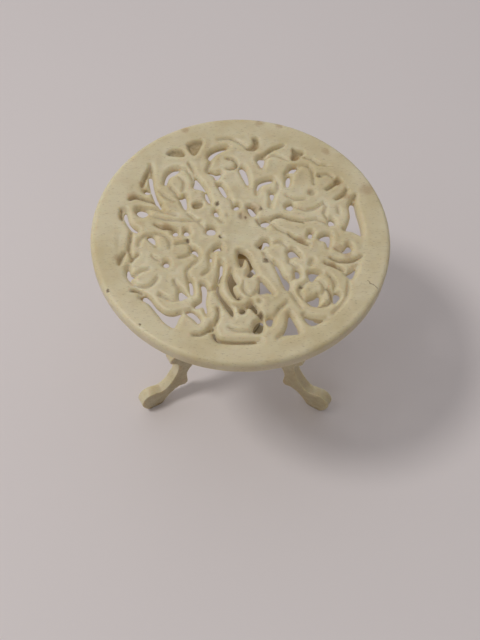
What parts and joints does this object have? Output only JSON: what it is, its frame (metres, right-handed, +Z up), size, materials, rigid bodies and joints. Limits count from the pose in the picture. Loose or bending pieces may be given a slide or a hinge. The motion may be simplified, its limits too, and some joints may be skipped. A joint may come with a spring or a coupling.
{
  "type": "miniature tripod table",
  "caption": "Miniature tripod table: round pierced and carved top turning on a pin in a turned column, with sawn scroll legs pegged to a drum.",
  "frame": {"origin": "on the floor, on the column's axis, midway between the three feet", "axes": "+Z up along the column, -Y towards the front (between the two front legs), +X to the right seen from the front"},
  "size_m": [0.042, 0.042, 0.0405],
  "materials": {
    "bone_top": "satin",
    "bone_turned": "satin",
    "bone_leg": "satin",
    "bone_peg": "matte"
  },
  "bodies": {
    "stand": {"column": "bone_turned", "top_pin": "bone_peg", "leg_drum": "bone_turned", "leg_left": "bone_leg", "leg_right": "bone_leg", "leg_back": "bone_leg", "peg_left": "bone_peg", "peg_right": "bone_peg", "peg_back": "bone_peg"},
    "top": {"pierced_top": "bone_top", "top_boss": "bone_turned"}
  },
  "joints": [
    {"name": "top_turn", "type": "hinge", "parent": "stand", "child": "top", "pos_m": [0, 0, 0.0381], "axis": [0, 0, 1], "continuous": true}
  ]
}
